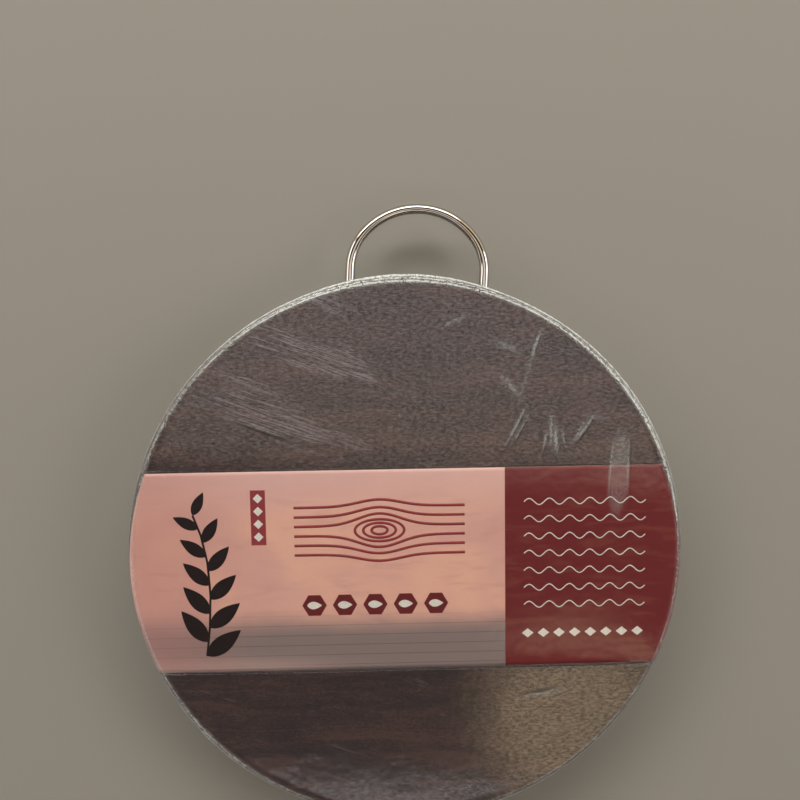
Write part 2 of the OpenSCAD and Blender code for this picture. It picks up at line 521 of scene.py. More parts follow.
def skin(along, around, lift=0.0, side=1):
    """Points over the block. along runs from the middle of a face over the eased edge to
    the middle of the rim, around is the angle from +X, and side is 1 on the face, -1 on
    the back"""
    turn = np.clip((along - EDGE_AT) / EDGE_R, 0, math.pi / 2)
    out = np.minimum(along, EDGE_AT) + (EDGE_R + lift) * np.sin(turn)
    down = np.maximum(along - WALL_AT, 0)
    up = HALF_T - EDGE_R + (EDGE_R + lift) * np.cos(turn) - down
    return np.stack([out * np.cos(around), out * np.sin(around), WOOD_MID + side * up], -1)


def turned(x, y, turn):
    """Flat coordinates turned by an angle"""
    cos, sin = math.cos(turn), math.sin(turn)
    return x * cos - y * sin, x * sin + y * cos


def card_place(card, u, v):
    """Distance along the skin and angle of points given on the flat card"""
    x, y = turned(u, v, card.turn)
    return np.hypot(x, y - card.shift), np.arctan2(y - card.shift, x)


def on_card(card, along, around):
    """Points of the skin given along and across the flat card"""
    return turned(along * np.cos(around), along * np.sin(around) + card.shift, -card.turn)


def card_depth(card, along, around):
    """How far points of the skin lie inside the card's outline"""
    u, v = on_card(card, along, around)
    return np.minimum(card.width / 2 - np.abs(v), card.end_r - np.hypot(u, v))


def card_wave(card, along, around):
    """Height by which the card stands off the wood, in slow waves and where its near long
    edge curls up"""
    u, v = on_card(card, along, around)
    wave = 1 + np.sin(u / (19 * MM) + 0.7) * np.cos(v / (27 * MM) + u / (61 * MM))
    curl = np.exp(-np.abs(v + card.width / 2) / card.curl_reach)
    curl *= smooth_step((EDGE_AT - along) / (30 * MM))
    return 0.04 * MM * wave + card.curl * curl


def link(name, data):
    """Links a mesh, a lamp or a camera to the scene as an object"""
    obj = bpy.data.objects.new(name, data)
    bpy.context.scene.collection.objects.link(obj)
    return obj


def mesh_object(name, points, faces=(), edges=(), smooth=True):
    """A linked mesh object"""
    mesh = bpy.data.meshes.new(name)
    mesh.from_pydata(np.asarray(points).tolist(), edges, [list(f) for f in faces])
    mesh.polygons.foreach_set("use_smooth", [smooth] * len(mesh.polygons))
    mesh.update()
    return link(name, mesh)


def grid_faces(rows, columns, closed=True, flip=False):
    """Quads between rows of points, closed round the columns if asked"""
    count = columns if closed else columns - 1
    row, column = np.meshgrid(np.arange(rows - 1), np.arange(count), indexing="ij")
    here = row * columns
    after = (column + 1) % columns
    quads = [here + column, here + columns + column, here + columns + after, here + after]
    faces = np.stack([q.ravel() for q in quads], -1)
    return faces[:, ::-1] if flip else faces


def clean(obj, merge=0.0, outwards=True):
    """Merges points that lie within a distance, and turns the faces outwards"""
    shape = bmesh.new()
    shape.from_mesh(obj.data)
    if merge:
        bmesh.ops.remove_doubles(shape, verts=shape.verts, dist=merge)
    if outwards:
        bmesh.ops.recalc_face_normals(shape, faces=shape.faces)
    shape.to_mesh(obj.data)
    shape.free()
    obj.data.update()
    return obj


def tube(name, rings, ends=True, smooth=True, **values):
    """A closed mesh through rings of points, with flat ends if asked. Values are floats for
    each point, kept as attributes"""
    rings = np.asarray(rings)
    rows, columns = rings.shape[:2]
    faces = grid_faces(rows, columns).tolist()
    if ends:
        faces += [range(columns), range((rows - 1) * columns, rows * columns)]
    obj = mesh_object(name, rings.reshape(-1, 3), faces, smooth=smooth)
    set_values(obj.data, **values)
    return clean(obj, merge=MERGE)


def set_values(mesh, **values):
    """Stores floats for each point under their names"""
    for name, numbers in values.items():
        attribute = mesh.attributes.new(name, "FLOAT", "POINT")
        attribute.data.foreach_set("value", np.asarray(numbers, np.float32).ravel())


def plain_copy(obj, name):
    """Replaces an object by a plain mesh of its evaluated result"""
    graph = bpy.context.evaluated_depsgraph_get()
    mesh = bpy.data.meshes.new_from_object(
        obj.evaluated_get(graph), preserve_all_data_layers=True, depsgraph=graph
    )
    bpy.data.objects.remove(obj)
    mesh.name = name
    if not mesh.polygons:
        raise RuntimeError(f"{name} came out empty")
    return link(name, mesh)


def keep(obj, slot, *nodes):
    """Makes a finished piece ride on the body and hides the nodes it stands for; the slot is not used"""
    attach(obj, BODY)
    if nodes:
        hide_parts(*nodes)


def new_tree(build, values):
    """A geometry tree with named inputs for the values. build adds its nodes, and it ends in
    Realize Instances and Set Material"""
    kinds = {
        type(None): "Geometry", int: "Int", float: "Float", tuple: "Vector",
        bpy.types.Object: "Object", bpy.types.Material: "Material"
    }
    tree = bpy.data.node_groups.new(build.__name__, "GeometryNodeTree")
    for label, value in {"geometry": None, **values}.items():
        socket = tree.interface.new_socket(
            label.replace("_", " ").title(), in_out="INPUT",
            socket_type="NodeSocket" + kinds[type(value)]
        )
        if isinstance(value, (int, float, tuple)):
            socket.default_value = value
    tree.interface.new_socket("Geometry", in_out="OUTPUT", socket_type="NodeSocketGeometry")
    add = partial(add_node, tree)
    given = add("NodeGroupInput").outputs
    shape = add("GeometryNodeRealizeInstances", build(add, given))
    shape = add("GeometryNodeSetMaterial", {"Geometry": shape, "Material": given["Material"]})
    add("NodeGroupOutput", shape)
    return tree


def run_tree(obj, build, name, **values):
    """Runs a geometry tree on an object and returns the result as a plain mesh object"""
    tree = bpy.data.node_groups.get(build.__name__) or new_tree(build, values)
    modifier = obj.modifiers.new(tree.name, "NODES")
    modifier.node_group = tree
    for item in tree.interface.items_tree:
        label = item.name.lower().replace(" ", "_")
        if item.in_out == "INPUT" and label in values:
            modifier[item.identifier] = values[label]
    return plain_copy(obj, name)


# Blind holes: clearance round the rod, room below its tip, angle of the drill's point in
# degrees, how far the drill sticks out of the rim, and its facets
HOLE_AIR, HOLE_ROOM, DRILL_POINT, DRILL_OUT, DRILL_SIDES = 0.05 * MM, 2 * MM, 118, 5 * MM, 48


class CHOPBLOCK_OT_wood(bpy.types.Operator):
    """Turns the wooden disc and drills its two blind holes"""

    bl_idname = "chopblock.wood"
    bl_label = "Wooden Disc"

    def execute(self, context):
        wood = context.scene.chop_wood
        # Rings of points over the face, over the eased edge and down the rim
        face_rows = np.array([0.02, 20, 60, 100, 130, 142, 145.5]) * MM
        edge_rows = np.linspace(EDGE_AT, WALL_AT, 9)
        wall_rows = np.linspace(WALL_AT, SEAM_AT, 7)[1:]
        rows = np.concatenate([face_rows, edge_rows, wall_rows])
        along, around = np.meshgrid(rows, full_turn(wood.segments), indexing="ij")
        halves = [skin(along, around), skin(along, around, side=-1)[::-1]]
        # 1 on the eased edges, fading out on the face and the rim
        eased = 1 - smooth_step(np.abs(along - (EDGE_AT + WALL_AT) / 2) / (4 * MM))
        eased = np.concatenate([eased, eased[::-1]])
        disc = tube("wood_disc", np.concatenate(halves), eased=eased)
        disc.data.materials.append(heartwood(wood))
        drills = [self.drill(side * LEG_X) for side in (-1, 1)]
        for drill in drills:
            cut = disc.modifiers.new("drill", "BOOLEAN")
            cut.operation, cut.solver, cut.object = "DIFFERENCE", "EXACT", drill
        disc = plain_copy(disc, "wood_disc")
        for drill in drills:
            bpy.data.objects.remove(drill)
        keep(disc, "oiled_heartwood", "block")
        return {"FINISHED"}

    def drill(self, x):
        """The shape of one blind hole along a leg, with the cone that the drill leaves"""
        hole_r = ROD_R + HOLE_AIR
        bottom = ROD_LOW.y - HOLE_ROOM
        point = hole_r / math.tan(math.radians(DRILL_POINT / 2))
        drill = tube("drill", [
            np.insert(flat_xy(r, full_turn(DRILL_SIDES)) + (x, WOOD_MID), 1, y, axis=1)
            for r, y in ((0, bottom - point), (hole_r, bottom), (hole_r, WOOD_R + DRILL_OUT))
        ], smooth=False)
        drill.hide_render = True
        return drill


class CHOPBLOCK_OT_handle(bpy.types.Operator):
    """Bends the steel rod into a bow with two ringed legs"""

    bl_idname = "chopblock.handle"
    bl_label = "Steel Handle"

    def execute(self, context):
        handle = context.scene.chop_handle
        path, radii = self.route(handle)
        tangent = np.gradient(path, axis=0)
        tangent /= np.linalg.norm(tangent, axis=1)[:, None]
        normal = np.stack([-tangent[:, 1], tangent[:, 0]], -1)
        across, up = np.moveaxis(radii[:, None, None] * flat_xy(1, full_turn(handle.sides)), -1, 0)
        flat = path[:, None] + across[..., None] * normal[:, None]
        rod = tube("handle_rod", np.dstack([flat, WOOD_MID + up]))
        self.map_rod(rod.data, path, handle.sides)
        rod.data.materials.append(polished_steel(handle))
        keep(rod, "polished_stainless", "handle")
        return {"FINISHED"}

    def route(self, handle):
        """Middle line of the rod from tip to tip, and the rod's radius along it"""
        crown_y = ROD_HIGH.y - ROD_R - handle.crown_r
        shoulder_x = LEG_X - handle.shoulder_r
        drop = math.sqrt((handle.crown_r - handle.shoulder_r) ** 2 - shoulder_x**2)
        joint = math.atan2(drop, shoulder_x)
        lower, profile = self.leg_profile(handle)
        plain = np.linspace(lower[-1], crown_y + drop - ROD_LOW.y, 30)[1:]
        leg_y = ROD_LOW.y + np.concatenate([lower, plain])
        half = [np.stack([np.full_like(leg_y, LEG_X), leg_y], -1)]
        for middle, radius, start, end, count in (
            ((shoulder_x, crown_y + drop), handle.shoulder_r, 0, joint, 30),
            ((0, crown_y), handle.crown_r, joint, math.pi / 2, 40)
        ):
            half.append(flat_xy(radius, np.linspace(start, end, count)[1:]) + middle)
        half = np.concatenate(half)
        radii = np.full(len(half), ROD_R)
        radii[:len(profile)] = profile
        mirrored = half[-2::-1] * (-1, 1)
        return np.concatenate([half, mirrored]), np.concatenate([radii, radii[-2::-1]])

    def leg_profile(self, handle):
        """Distance from the tip and radius: cone, grip rings, then the plain rod"""
        groove, crest, taper, step = ROD_R - 0.3 * MM, ROD_R + 0.15 * MM, 1.5 * MM, 0.02 * MM
        pitch = handle.ring_pitch
        knots = [(0, ROD_R / 2), (taper, groove)]
        for i in range(handle.ring_count):
            start = taper + i * pitch
            knots.append((start + 0.2 * pitch, groove))
            knots.append((start + 0.9 * pitch, crest))
            knots.append((start + pitch - step, groove))
        end = taper + handle.ring_count * pitch
        knots += [(end + 0.2 * pitch, groove), (end + 0.5 * pitch, ROD_R)]
        return np.array(knots).T

    def map_rod(self, mesh, path, sides):
        """UV map: millimetres along the rod and once round it"""
        steps = np.linalg.norm(np.diff(path, axis=0), axis=1)
        run = np.concatenate([[0], np.cumsum(steps)]) / MM
        uv = mesh.uv_layers.new(name="rod").data
        for face in mesh.polygons:
            spots = [divmod(mesh.loops[i].vertex_index, sides) for i in face.loop_indices]
            columns = [column for _, column in spots]
            wraps = max(columns) - min(columns) > sides / 2
            for i, (row, column) in zip(face.loop_indices, spots):
                uv[i].uv = run[row], (sides if wraps and column == 0 else column) / sides


# Points of the card's mesh along and across it
CARD_ALONG, CARD_ACROSS = 181, 56


class CHOPBLOCK_OT_card(bpy.types.Operator):
    """Lays the card band across the face and turns its ends over the eased edge"""

    bl_idname = "chopblock.card"
    bl_label = "Card Band"

    def execute(self, context):
        card = context.scene.chop_card
        v = np.linspace(-card.width / 2, card.width / 2, CARD_ACROSS)
        share = np.sin(np.linspace(-math.pi / 2, math.pi / 2, CARD_ALONG))
        u = np.sqrt(card.end_r**2 - v**2)[:, None] * share
        v = np.broadcast_to(v[:, None], u.shape)
        along, around = card_place(card, u, v)
        lift = CARD_T + CARD_AIR + card_wave(card, along, around)
        points = skin(along, around, lift).reshape(-1, 3)
        band = mesh_object("card_band", points, grid_faces(*u.shape, closed=False, flip=True))
        flat = np.stack([u.ravel(), v.ravel()], -1) / MM
        corners = [loop.vertex_index for loop in band.data.loops]
        uv = band.data.uv_layers.new(name="card")
        uv.data.foreach_set("uv", flat[corners].ravel())
        band.data.materials.append(printed_card(card))
        band.data.materials.append(card_core())
        wall = band.modifiers.new("card", "SOLIDIFY")
        wall.thickness, wall.offset = CARD_T, -1
        wall.material_offset = wall.material_offset_rim = 1
        keep(plain_copy(band, "card_band"), "coated_card", "label_card")
        return {"FINISHED"}


def flat_shape(outline):
    """A thin prism of ink from a flat outline, at the origin"""
    rings = [np.insert(outline, 2, height, axis=1) for height in (0, INK_T)]
    return tube("motif", rings, smooth=False)


def leaf_outline(size, width, points=14):
    """A leaf from its stalk at the origin towards +X, given in millimetres"""
    share = np.linspace(0, 1, points)
    half = width / 2 * np.sin(math.pi * share**0.8) ** 0.9
    lower, upper = (np.stack([size * share, side * half], -1) for side in (-1, 1))
    return np.concatenate([lower[:-1], upper[:0:-1]]) * MM


def polygon_outline(radius, sides, squash=1.0):
    """A regular polygon with a corner towards +X, given in millimetres"""
    return flat_xy(radius, full_turn(sides)) * (MM, squash * MM)


def copies(add, shape, *row):
    """Copies of a shape in a row, given by its count, start and step"""
    points = add("GeometryNodeMeshLine", *row)
    return add("GeometryNodeInstanceOnPoints", {"Points": points, "Instance": shape})


def motif_row(add, given):
    """Copies of a motif in a row"""
    motif = add("GeometryNodeObjectInfo", given["Motif"]).outputs["Geometry"]
    return copies(add, motif, given["Count"], given["Start"], given["Step"])


def ribbon(add, curve, width):
    """A flat ribbon of ink along a curve"""
    profile = add("GeometryNodeCurvePrimitiveQuadrilateral", width, INK_T)
    level = add("GeometryNodeSetCurveNormal", curve, mode="Z_UP")
    return add(
        "GeometryNodeCurveToMesh", {"Curve": level, "Profile Curve": profile, "Fill Caps": True}
    )


# Distance from the knot at which its push on the grain lines has halved
FAR_REACH = 12 * MM


def grain_lines(add, given):
    """Lines that run along X in rows and part round a knot at the origin"""
    ends = (add(XYZ, add("MULTIPLY", given["Length"], share)) for share in (-0.5, 0.5))
    line = add("GeometryNodeCurvePrimitiveLine", *ends)
    line = add("GeometryNodeResampleCurve", {"Curve": line, "Count": 90})
    first = add("MULTIPLY", add("MULTIPLY_ADD", given["Rows"], -0.5, 0.5), given["Pitch"])
    start, step = (add(XYZ, 0.0, value) for value in (first, given["Pitch"]))
    rows = add("GeometryNodeRealizeInstances", copies(add, line, given["Rows"], start, step))
    x, y, _ = add(SPLIT, add("GeometryNodeInputPosition")).outputs
    # The push falls off along a line as a bell curve, and with distance from the knot
    near = add("POWER", add("DIVIDE", x, given["Spread"]), 2.0)
    near = add("POWER", 1 / math.e, near)
    far = add("MULTIPLY_ADD", add("ABSOLUTE", y), 1 / FAR_REACH, 1.0)
    push = add("MULTIPLY", add("SIGN", y), given["Bulge"])
    push = add("DIVIDE", add("MULTIPLY", push, near), far)
    rows = add("GeometryNodeSetPosition", {"Geometry": rows, "Offset": add(XYZ, 0.0, push)})
    return ribbon(add, rows, given["Width"])


def wave_lines(add, given):
    """Rows of wavy lines"""
    line = add("GeometryNodeCurvePrimitiveLine", (0, 0, 0), add(XYZ, given["Length"]))
    line = add("GeometryNodeResampleCurve", {"Curve": line, "Count": 140})
    run = add(SPLIT, add("GeometryNodeInputPosition"))
    phase = add("MULTIPLY", add("DIVIDE", run, given["Wave"]), 2 * math.pi)
    rise = add("MULTIPLY", add("SINE", phase), given["Height"])
    line = add("GeometryNodeSetPosition", {"Geometry": line, "Offset": add(XYZ, 0.0, rise)})
    wave = ribbon(add, line, given["Width"])
    return copies(add, wave, given["Rows"], given["Start"], given["Step"])


def leafy_sprig(add, given):
    """Leaves on alternate sides of a stem, from a line of points"""
    stem = add("GeometryNodeMeshToCurve", given["Geometry"])
    nodes = add("GeometryNodeResampleCurve", {"Curve": stem, "Count": given["Leaves"]})
    index = add("GeometryNodeInputIndex")
    side = add("MULTIPLY_ADD", add("MODULO", index, 2.0), 2.0, -1.0)
    splay = add("MULTIPLY", side, given["Splay"])
    heading = add(
        "FunctionNodeAlignRotationToVector", {"Vector": add("GeometryNodeInputTangent")},
        axis="X", pivot_axis="Z"
    )
    swing = add("FunctionNodeEulerToRotation", add(XYZ, 0.0, 0.0, splay))
    heading = add("FunctionNodeRotateRotation", heading, swing, rotation_space="LOCAL")
    size = add("MULTIPLY_ADD", add("DIVIDE", index, given["Leaves"]), -0.5, 1.12)
    leaf = add("GeometryNodeObjectInfo", given["Leaf"]).outputs["Geometry"]
    leaves = add(
        "GeometryNodeInstanceOnPoints",
        {"Points": nodes, "Instance": leaf, "Rotation": heading, "Scale": size}
    )
    stem = add("GeometryNodeResampleCurve", {"Curve": stem, "Count": 60})
    sprig = add("GeometryNodeJoinGeometry", leaves)
    sprig.id_data.links.new(ribbon(add, stem, given["Stem"]).outputs[0], sprig.inputs[0])
    return sprig


# The sprig's stem, and the middle of the knot in the grain lines, in millimetres
STEM = ((-109, -46), (-107, -30), (-106, -12), (-107, 6), (-110, 21), (-114, 32))
KNOT = (-14, 22)

# The bar behind a column of marks
BAR = np.array([(-4, -15), (4, -15), (4, 15), (-4, 15)]) * MM
# Rows of motifs: name, outline, count, start and step in millimetres, ink and layer
MOTIFS = (
    ("print_hexagons", polygon_outline(6.6, 6), 5, (-50, -19), (16.5, 0), "maroon", 1),
    ("print_drops", leaf_outline(8, 4.2), 5, (-54, -19), (16.5, 0), "white", 2),
    ("print_bar", BAR, 1, (-79, 30), (1, 0), "red", 1),
    ("print_bar_marks", polygon_outline(2.6, 4), 4, (-79, 19.5), (0, 7), "white", 2),
    ("print_panel_marks", polygon_outline(3.2, 4, 0.8), 8, (66, -37), (8.6, 0), "white", 1),
)


class CHOPBLOCK_OT_print(bpy.types.Operator):
    """Prints the motifs on the card: sprig, grain lines, hexagons, waves and lozenges"""

    bl_idname = "chopblock.print"
    bl_label = "Printed Motifs"

    def execute(self, context):
        self.card = card = context.scene.chop_card
        inks = {
            name: ink(f"ink_{name}", shade) for name, shade in (
                ("dark", card.ink_dark), ("red", card.ink_red), ("maroon", card.panel),
                ("white", card.ink_white)
            )
        }
        stem = mesh_object(
            "stem", np.insert(STEM, 2, 0, axis=1) * MM,
            edges=[(i, i + 1) for i in range(len(STEM) - 1)]
        )
        leaf = flat_shape(leaf_outline(21, 8.5))
        self.lay(run_tree(
            stem, leafy_sprig, "print_sprig", leaf=leaf, leaves=11, splay=0.8, stem=1.2 * MM,
            material=inks["dark"]
        ))
        bpy.data.objects.remove(leaf)
        lines = run_tree(
            mesh_object("blank", []), grain_lines, "print_grain_lines", rows=6, pitch=5.2 * MM,
            length=92 * MM, bulge=8 * MM, spread=16 * MM, width=1.5 * MM, material=inks["red"]
        )
        self.lay(lines, KNOT)
        for i, size in enumerate((3.5, 8, 12.5)):
            ring = self.oval(f"print_knot_{i + 1}", (size * MM, 0.42 * size * MM), 1.5 * MM)
            ring.data.materials.append(inks["red"])
            self.lay(ring, KNOT)
        for name, outline, count, start, step, shade, layer in MOTIFS:
            motif = flat_shape(outline)
            row = run_tree(
                mesh_object("blank", []), motif_row, name, motif=motif, count=count,
                start=(*(value * MM for value in start), 0),
                step=(*(value * MM for value in step), 0), material=inks[shade]
            )
            self.lay(row, layer=layer)
            bpy.data.objects.remove(motif)
        self.lay(run_tree(
            mesh_object("blank", []), wave_lines, "print_waves", rows=7,
            start=(64 * MM, 36 * MM, 0), step=(0, -9.5 * MM, 0), length=66 * MM,
            wave=11 * MM, height=1.7 * MM, width=0.6 * MM, material=inks["white"]
        ))
        return {"FINISHED"}

    def oval(self, name, half_size, line):
        """A flat oval ring of ink"""
        turns = full_turn(96)
        return tube(name, [
            np.insert(flat_xy(1, turns) * np.add(half_size, grow), 2, height, axis=1)
            for grow, height in ((0, 0), (0, INK_T), (line, INK_T), (line, 0), (0, 0))
        ], ends=False)

    def lay(self, obj, shift=(0, 0), layer=1):
        """Lays flat ink on the card, shifted in millimetres, and keeps it"""
        flat = np.array([point.co for point in obj.data.vertices])
        u, v = (flat[:, :2] + np.multiply(shift, MM)).T
        along, around = card_place(self.card, u, v)
        height = flat[:, 2] - flat[:, 2].min() + (layer - 1) * INK_T - 0.005 * MM
        lift = CARD_T + CARD_AIR + card_wave(self.card, along, around) + height
        obj.data.vertices.foreach_set("co", skin(along, around, lift).ravel())
        keep(clean(obj), "coated_card")


# Creases of the film on the face: middle x and y, heading in degrees, length, half width
# and height. Most stand at the right of the face above the card
CREASES = (
    (63.8, 118, 76, 18, 0.9, 0.3), (60.5, 104, 76, 44, 0.9, 0.1),
    (55.7, 73.8, 66, 36, 0.8, 0.2), (58.6, 72.4, 64, 26, 0.7, 0.14),
    (74.4, 72, 92, 32, 0.8, 0.2), (77.4, 66, 95, 24, 1.1, 0.26),
    (81.5, 67, 102, 18, 0.8, 0.14), (71.6, 66, 84, 20, 0.8, 0.14),
    (92.6, 73.4, 58, 28, 0.8, 0.22), (89.4, 71.6, 62, 22, 0.7, 0.16),
    (107.6, 54, 88, 50, 0.7, 0.12), (117.2, 54, 91, 50, 0.7, 0.12),
    (48, 115.5, -20, 24, 1.5, 0.12), (51, 95, -45, 26, 1.5, 0.14),
    (-80, 66, -17, 46, 0.6, 0.1), (78, -74, 12, 40, 1.4, 0.1),
    (20, 128, 30, 26, 1.2, 0.12),
)
# Rows of points along a crease: distances in half widths, their step in millimetres, and
# the half widths that the lattice keeps off
CREASE_ROWS, CREASE_STEP, CREASE_CLEAR = np.array([-2, -1, -0.5, 0, 0.5, 1, 2]), 1.3, 2.6
# The same along the card's edge, all in millimetres, from the outside in
CARD_ROWS, CARD_STEP, CARD_CLEAR = (-2, -1.2, -0.6, -0.2, 0, 0.3, 1.2), 1.6, 1.7
# A loose blister of film that reaches over the card's edge
BLISTER = (112.4, 50, 89, 56, 13, 0.08)


def crease_axes(x, y, middle_x, middle_y, heading):
    """Distances along and across a crease"""
    return turned(x - middle_x * MM, y - middle_y * MM, -math.radians(heading))


def film_gathers(add, given):
    """Gathers the film into pleats that run over the eased edge, and keeps how sharply
    it is drawn as an attribute"""
    place = add("GeometryNodeInputPosition")
    gather = add("GeometryNodeInputNamedAttribute", "gather", data_type="FLOAT")
    # Points drawn out to one circle have the same noise all the way over the edge
    circle = add(VECTOR, place, (1, 1, 0.1), operation="MULTIPLY")
    circle = add(VECTOR, circle, operation="NORMALIZE")
    scale = add("DIVIDE", WOOD_R, given["Pleat Width"])
    pleats, drift = (
        add(NOISE, {"Vector": at, "W": given["Seed"], "Scale": size, "Detail": 1.0}, **SEEDED)
        for at, size in ((circle, scale), (place, 38.0))
    )
    ridge = add("ABSOLUTE", add("MULTIPLY_ADD", pleats, 2.0, -1.0))
    ridge = add("MULTIPLY_ADD", ridge, -2.2, 1.0, use_clamp=True)
    drawn = add("MULTIPLY", add("POWER", ridge, 2.0), gather)
    rise = add("MULTIPLY", drawn, given["Pleat Height"])
    rise = add("MULTIPLY_ADD", drift, given["Drift"], rise)
    offset = add(VECTOR, add("GeometryNodeInputNormal"), rise, operation="SCALE")
    shape = add(
        "GeometryNodeStoreNamedAttribute",
        {"Geometry": given["Geometry"], "Name": "stress", "Value": drawn},
        data_type="FLOAT", domain="POINT"
    )
    shape = add("GeometryNodeSetPosition", {"Geometry": shape, "Offset": offset})
    # The block's weight presses the film flat on the table
    x, y, z = add(SPLIT, place).outputs
    pressed = add(XYZ, x, y, add("MAXIMUM", z, given["Table"]))
    return add("GeometryNodeSetPosition", {"Geometry": shape, "Position": pressed})


# Reach of the lips and of the strain round a leg, of the pull that shifts the seam there,
# and of the welded fin below the seam
LIP_REACH, STRAIN_REACH, PULL_REACH, FIN_REACH = 0.9 * MM, 4 * MM, 7 * MM, 0.55 * MM
# Height at which a crease is as white as it gets: partly whitening of the creased film, partly painted
# highlight
CREASE_FULL = 0.25 * MM
# The gathers start this far before the edge and are full this far on
GATHER_LEAD, GATHER_RISE = 1.0 * MM, 1.6 * MM
# The film stands off the rim: how far in millimetres, and where and how wide in degrees
SLACK = ((1.5, 92, 26), (0.6, 228, 26), (0.25, 40, 30), (0.3, 300, 30))
# Painted highlight lines that run round the eased edge: place beyond the edge and half width in
# # millimetres, and how strong they still are on the side that is turned away from the handle and the key
# lamp
RIM_HIGHLIGHT_LINES = ((0.5, 0.36, 0.15), (3.3, 0.55, 0.4))


class CHOPBLOCK_OT_film(bpy.types.Operator):
    """Shrinks a front and a back sheet of clear film round block and card"""

    bl_idname = "chopblock.film"
    bl_label = "Shrink Film"

    def execute(self, context):
        self.film = context.scene.chop_film
        self.card = context.scene.chop_card
        material = clear_film(self.film)
        for name, side, nodes in (("film_front", 1, ["shrink_film"]), ("film_back", -1, [])):
            sheet = run_tree(
                self.sheet(name, side), film_gathers, name, pleat_width=self.film.pleat,
                pleat_height=self.film.pleat_height, drift=0.04 * MM, table=0.07 * MM,
                seed=1.0 + side, material=material
            )
            wall = sheet.modifiers.new("film", "SOLIDIFY")
            wall.thickness, wall.offset = self.film.thickness, 1
            keep(plain_copy(sheet, name), "clear_film", *nodes)
        return {"FINISHED"}

    def sheet(self, name, side):
        """One sheet from the middle of its face to the seam round the rim"""
        film = self.film
        rows = np.concatenate([
            np.linspace(film.inner_r, EDGE_AT, 7)[:-1],
            np.linspace(EDGE_AT, WALL_AT, 9)[:-1],
            WALL_AT + np.array([0, 0.8, 2, 5]) * MM,
            SEAM_AT - np.array([4.5, 2.4, 1.2, 0.5, 0.2, 0.0]) * MM,
        ])
        near_leg = np.linspace(-5 * MM, 5 * MM, 25) / WOOD_R
        legs = [math.atan2(RIM_Y, side_x * LEG_X) + near_leg for side_x in (1, -1)]
        around = np.unique(np.round(np.concatenate([full_turn(film.segments), *legs]), 7))
        along, angles = np.meshgrid(rows, around, indexing="ij")
        inner = np.concatenate([flat_xy(film.inner_r, around), self.inner_points(side)])
        flat, _, triangles, *_ = delaunay_2d_cdt(
            [Vector(p) for p in inner], [], [], 0, MERGE, False
        )
        x, y = np.array([tuple(p) for p in flat]).T
        quads = grid_faces(len(rows), len(around), flip=side < 0) + len(flat)
        points, masks = self.shape(
            np.concatenate([np.hypot(x, y), along.ravel()]),
            np.concatenate([np.arctan2(y, x), angles.ravel()]), side
        )
        sheet = mesh_object(name, points, [*(t[::side] for t in triangles), *quads.tolist()])
        set_values(sheet.data, **masks)
        return clean(sheet, merge=FILM_MERGE, outwards=False)

    def inner_points(self, side):
        """Points of the sheet inside the rows round the rim: a plain lattice, with rows of
        points along the card's edge and along each crease"""
        film, card = self.film, self.card
        cell = film.cell if side > 0 else 2.5 * film.cell
        limit = film.inner_r - 0.9 * MM
        count = int(limit / cell) + 1
        i, j = np.meshgrid(np.arange(-count, count + 1), np.arange(-2 * count, 2 * count + 1))
        x = cell * (i + 0.5 * (j % 2)).ravel()
        y = cell * math.sqrt(0.75) * j.ravel()
        lattice = np.stack([x, y], -1)[np.hypot(x, y) < limit]
        if side < 0:
            return lattice
        x, y = lattice.T
        depth = card_depth(card, np.hypot(x, y), np.arctan2(y, x))
        lattice = lattice[np.abs(depth + 0.4 * MM) > CARD_CLEAR * MM]
        edge = np.arange(-card.end_r, card.end_r, CARD_STEP * MM)
        extra = [
            flat_xy(*card_place(card, edge, sign * (card.width / 2 - inset * MM)))
            for sign in (-1, 1) for inset in CARD_ROWS
        ]
        for x, y, heading, reach, half_width, _ in CREASES:
            run = np.arange(-reach / 2, reach / 2, CREASE_STEP)
            run, out = np.meshgrid(run, half_width * CREASE_ROWS)
            spots = np.stack(turned(run.ravel(), out.ravel(), math.radians(heading)), -1)
            extra.append((spots + (x, y)) * MM)
            along, across = crease_axes(*lattice.T, x, y, heading)
            beside = (np.abs(along) < reach / 2 * MM) & (np.abs(across) < CREASE_CLEAR * half_width * MM)
            lattice = lattice[~beside]
        extra = np.concatenate(extra)
        return np.concatenate([lattice, extra[np.hypot(*extra.T) < limit]])

    def shape(self, along, around, side):
        """Points of the sheet in place, and masks of its gathers, of the painted highlight lines over the
        edge, and of the creases' whitening and painted highlight
        """
        film, card = self.film, self.card
        height = self.creases(*flat_xy(along, around).T) if side > 0 else 0 * along
        slack = self.slack(around)
        seam_off = SEAM_AT - along
        # Holes round the legs push the seam line apart, and the film is drawn up along them
        hole_r = ROD_R + film.hole_gap
        shifted, lips, near_leg = seam_off.copy(), 0 * along, 0 * along
        rim_x = (WOOD_R + film.wall_gap + slack) * np.cos(around)
        for sign in (1, -1):
            off = np.where(np.sin(around) > 0, rim_x - sign * LEG_X, 1.0)
            notch = np.sqrt(np.maximum(hole_r**2 - off**2, 0))
            pushed = notch + seam_off * (PULL_REACH - notch) / PULL_REACH
            shifted = np.where((seam_off < PULL_REACH) & (notch > 0), pushed, shifted)
            distance = np.maximum(np.hypot(off, shifted) - hole_r, 0)
            lips = np.maximum(lips, film.collar * np.exp(-distance / LIP_REACH))
            near_leg = np.maximum(near_leg, np.exp(-distance / STRAIN_REACH))
        along = SEAM_AT - shifted
        over_card = 0.0
        wave = card_wave(card, along, around)
        if side > 0:
